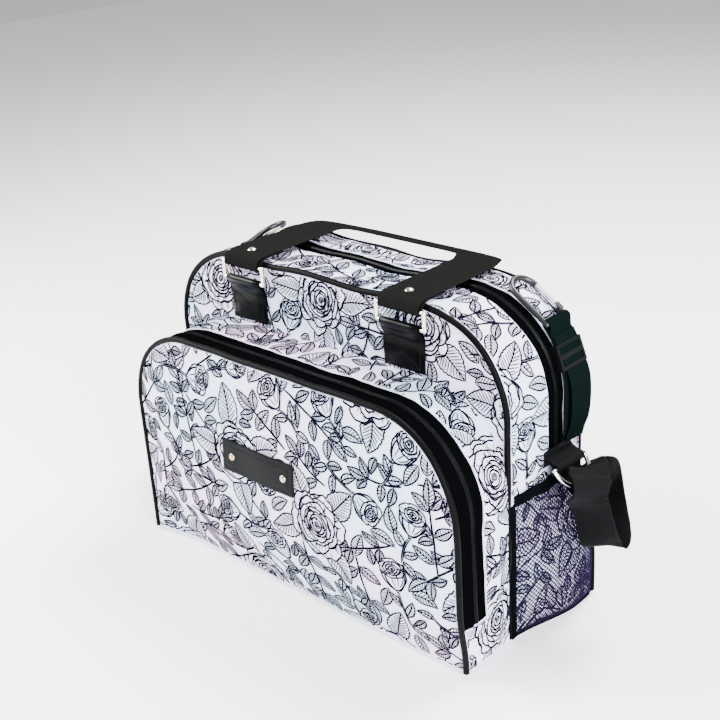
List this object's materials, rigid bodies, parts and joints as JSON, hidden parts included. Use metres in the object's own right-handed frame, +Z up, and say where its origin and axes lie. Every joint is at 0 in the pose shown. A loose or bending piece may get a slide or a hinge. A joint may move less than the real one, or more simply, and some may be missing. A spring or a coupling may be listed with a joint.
{
  "type": "diaper bag",
  "caption": "Soft zipped changing bag with a front pocket, two webbing handles on metal rings, side net pockets, a shoulder strap and clip-on stroller straps.",
  "frame": {"origin": "middle of the base's underside, on the floor the bag stands on", "axes": "+Z up, -Y out of the front pocket, +X to the right seen from the front"},
  "size_m": [0.5198, 0.2163, 0.3027],
  "materials": {
    "printed_cloth": "satin woven cloth with fine ink line drawing of roses and leaves",
    "lining_cloth": "matte plain lining",
    "board": "matte",
    "piping_cord": "matte",
    "zip_tape": "matte woven tape",
    "zip_coil": "satin nylon",
    "zip_metal": "satin black",
    "puller_cord": "matte",
    "handle_webbing": "matte heavy webbing",
    "tab_leather": "glossy",
    "label_leather": "grained",
    "pale_gold": "polished",
    "label_brass": "satin",
    "silver": "polished",
    "net": "open diamond net",
    "elastic": "matte ribbed",
    "strap_webbing": "matte webbing",
    "stroller_webbing": "satin webbing",
    "black_plastic": "satin",
    "clip_metal": "satin black",
    "gate_metal": "satin"
  },
  "bodies": {
    "bag": {"base_panel": "printed_cloth", "base_board": "board", "lining": "lining_cloth", "front_panel": "printed_cloth", "back_panel": "printed_cloth", "side_panel_left": "printed_cloth", "side_panel_right": "printed_cloth", "gusset_front_strip": "printed_cloth", "gusset_back_strip": "printed_cloth", "front_piping": "piping_cord", "back_piping": "piping_cord", "main_zip_tapes": "zip_tape", "main_zip_coil": "zip_coil", "pocket_front_panel": "printed_cloth", "pocket_gusset": "printed_cloth", "pocket_piping": "piping_cord", "pocket_zip_tapes": "zip_tape", "pocket_zip_coil": "zip_coil", "label_patch": "label_leather", "label_rivets": "label_brass", "front_tab_left": "tab_leather", "front_tab_right": "tab_leather", "back_tab_left": "tab_leather", "back_tab_right": "tab_leather", "net_pocket_left": "net", "net_pocket_right": "net", "net_elastic_left": "elastic", "net_elastic_right": "elastic", "d_ring_tab_left": "strap_webbing", "d_ring_tab_right": "strap_webbing", "d_ring_left": "silver", "d_ring_right": "silver", "shoulder_strap": "strap_webbing", "shoulder_slide": "black_plastic", "stroller_strap_left": "stroller_webbing", "stroller_strap_right": "stroller_webbing", "stroller_slide_left": "black_plastic", "stroller_slide_right": "black_plastic"},
    "front_rings": {"front_ring_left": "pale_gold", "front_ring_right": "pale_gold"},
    "front_handle": {"front_handle": "handle_webbing", "front_handle_rivets": "pale_gold"},
    "back_rings": {"back_ring_left": "pale_gold", "back_ring_right": "pale_gold"},
    "back_handle": {"back_handle": "handle_webbing", "back_handle_rivets": "pale_gold"},
    "main_zip_slider": {"main_zip_slider": "zip_metal"},
    "main_zip_pull": {"main_zip_pull": "zip_metal"},
    "pocket_zip_slider": {"pocket_zip_slider": "zip_metal"},
    "pocket_zip_pull": {"pocket_zip_pull": "puller_cord"},
    "clip_left": {"clip_left": "clip_metal"},
    "clip_right": {"clip_right": "clip_metal"},
    "clip_gate_left": {"clip_gate_left": "gate_metal"},
    "clip_gate_right": {"clip_gate_right": "gate_metal"}
  },
  "joints": [
    {"name": "front_ring_fold", "type": "hinge", "parent": "bag", "child": "front_rings", "pos_m": [0, -0.0245, 0.274], "axis": [1, 0, 0], "range_deg": [0, 75]},
    {"name": "front_handle_swing", "type": "hinge", "parent": "front_rings", "child": "front_handle", "pos_m": [0, -0.0245, 0.29], "axis": [1, 0, 0], "range_deg": [0, 100]},
    {"name": "back_ring_fold", "type": "hinge", "parent": "bag", "child": "back_rings", "pos_m": [0, 0.0915, 0.274], "axis": [1, 0, 0], "range_deg": [0, 75]},
    {"name": "back_handle_swing", "type": "hinge", "parent": "back_rings", "child": "back_handle", "pos_m": [0, 0.09428, 0.25824], "axis": [1, 0, 0], "range_deg": [0, 60]},
    {"name": "main_zip_run", "type": "hinge", "parent": "bag", "child": "main_zip_slider", "pos_m": [-0.115, 0.046, 0.209], "axis": [0, 1, 0], "range_deg": [0, 78]},
    {"name": "main_pull_swing", "type": "hinge", "parent": "main_zip_slider", "child": "main_zip_pull", "pos_m": [-0.2043, 0.046, 0.209], "axis": [0, 1, 0], "range_deg": [0, 160]},
    {"name": "pocket_zip_slide", "type": "slide", "parent": "bag", "child": "pocket_zip_slider", "axis": [0, 0, 1], "range_m": [0, 0.08]},
    {"name": "pocket_pull_swing", "type": "hinge", "parent": "pocket_zip_slider", "child": "pocket_zip_pull", "pos_m": [-0.2043, -0.0681, 0.058], "axis": [0, 1, 0], "range_deg": [0, 160]},
    {"name": "clip_right_swing", "type": "hinge", "parent": "bag", "child": "clip_right", "pos_m": [0.18614, 0.069, 0.26827], "axis": [0, 1, 0], "range_deg": [0, 165]},
    {"name": "clip_left_swing", "type": "hinge", "parent": "bag", "child": "clip_left", "pos_m": [-0.18614, 0.069, 0.26827], "axis": [0, -1, 0], "range_deg": [0, 165]},
    {"name": "gate_right_open", "type": "hinge", "parent": "clip_right", "child": "clip_gate_right", "pos_m": [0.17714, 0.0826, 0.27424], "axis": [0.5519, 0, 0.8339], "range_deg": [0, 25], "stiffness_Nm_per_rad": 0.02, "springref_deg": -11.46},
    {"name": "gate_left_open", "type": "hinge", "parent": "clip_left", "child": "clip_gate_left", "pos_m": [-0.17714, 0.0826, 0.27424], "axis": [0.5519, 0, -0.8339], "range_deg": [0, 25], "stiffness_Nm_per_rad": 0.02, "springref_deg": -11.46}
  ]
}
